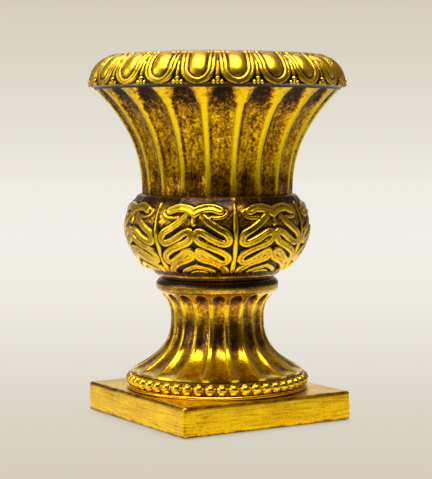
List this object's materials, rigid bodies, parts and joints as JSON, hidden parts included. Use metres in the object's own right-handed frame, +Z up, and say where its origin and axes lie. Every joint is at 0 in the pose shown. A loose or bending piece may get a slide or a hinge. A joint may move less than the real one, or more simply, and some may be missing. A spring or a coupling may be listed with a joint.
{
  "type": "campana urn",
  "caption": "Gilt campana urn with fluted flaring bell, egg-and-dart rim, acanthus bowl, fluted trumpet foot with a bead ring and a square plinth.",
  "frame": {"origin": "centre of the underside, on the surface that the urn stands on", "axes": "+Z up along the urn's axis; X and Y square to the plinth's sides"},
  "size_m": [0.2136, 0.2136, 0.3],
  "materials": {
    "felt": "felt",
    "plinth_gilt": "satin gilt, brushed sides, worn brown edges",
    "foot_gilt": "polished gilt with brown patina in the flutes",
    "bead_gilt": "polished gilt",
    "collar_gilt": "satin gilt",
    "bowl_gilt": "polished gilt leaves over dark brown recesses",
    "bell_gilt": "scrubbed gilt with vertical streaks and speckled patina",
    "rim_gilt": "polished gilt with dark recesses",
    "clamp_steel": "zinc plated",
    "seal_rubber": "matt"
  },
  "bodies": {
    "root": {"base_felt": "felt", "plinth": "plinth_gilt", "foot": "foot_gilt", "foot_bead_ring": "bead_gilt", "collar": "collar_gilt", "bowl": "bowl_gilt", "bell": "bell_gilt", "rim": "rim_gilt", "tie_rod": "clamp_steel", "lower_washer": "clamp_steel", "lower_nut": "clamp_steel", "rubber_seal": "seal_rubber", "upper_washer": "clamp_steel", "upper_nut": "clamp_steel"}
  },
  "joints": []
}
